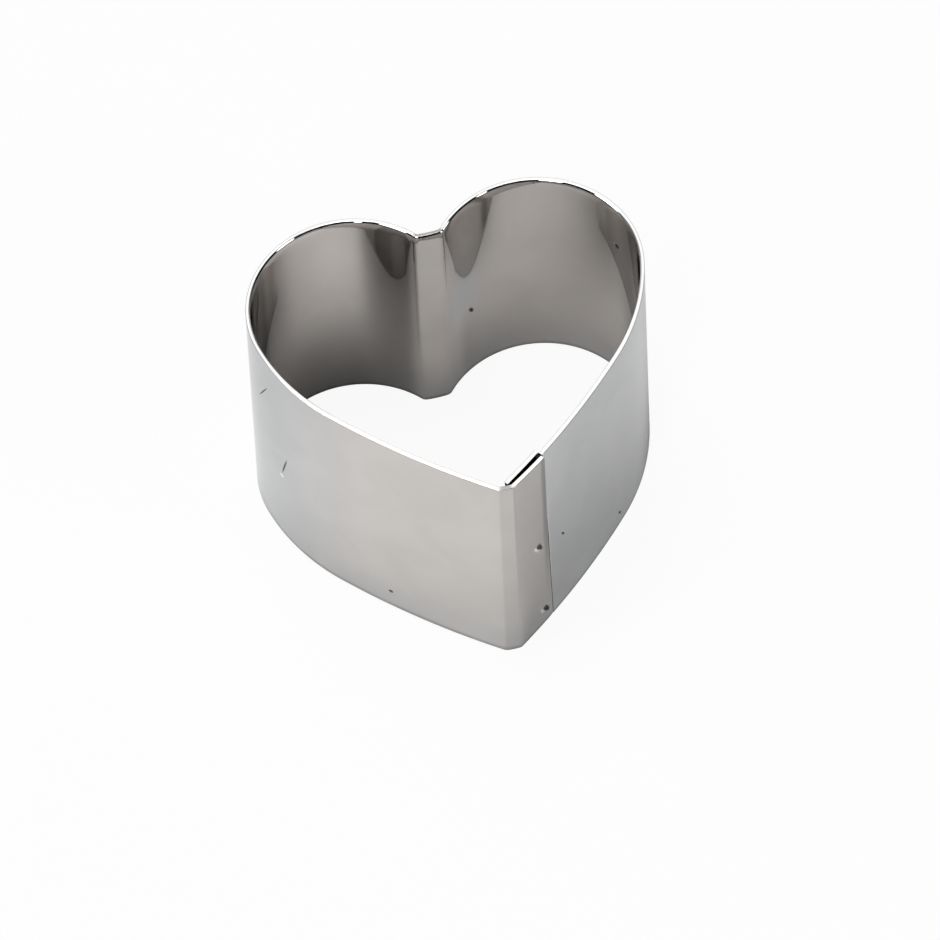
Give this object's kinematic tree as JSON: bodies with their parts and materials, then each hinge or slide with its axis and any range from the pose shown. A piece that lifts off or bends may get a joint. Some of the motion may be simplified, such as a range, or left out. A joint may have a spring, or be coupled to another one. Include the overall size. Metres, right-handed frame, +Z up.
{
  "type": "heart-shaped cake ring",
  "caption": "Open-bottomed heart-shaped ring of polished stainless strip, with a joggled lap spot-welded at the tip, for shaping cakes, mousse and pastry.",
  "frame": {"origin": "on the surface that the ring stands on, under the middle of its outside", "axes": "+X across the heart towards the lobe on the flap's side, +Y from the tip to the cleft, +Z up along the wall"},
  "size_m": [0.069, 0.0612, 0.05],
  "materials": {
    "polished_steel": "bright polished stainless sheet with faint rolling lines, smudges and hairline scratches",
    "weld_steel": "dished, slightly dulled face that a welding electrode leaves"
  },
  "bodies": {
    "root": {"heart_band": "polished_steel", "spot_weld_lower": "weld_steel", "spot_weld_upper": "weld_steel"}
  },
  "joints": []
}
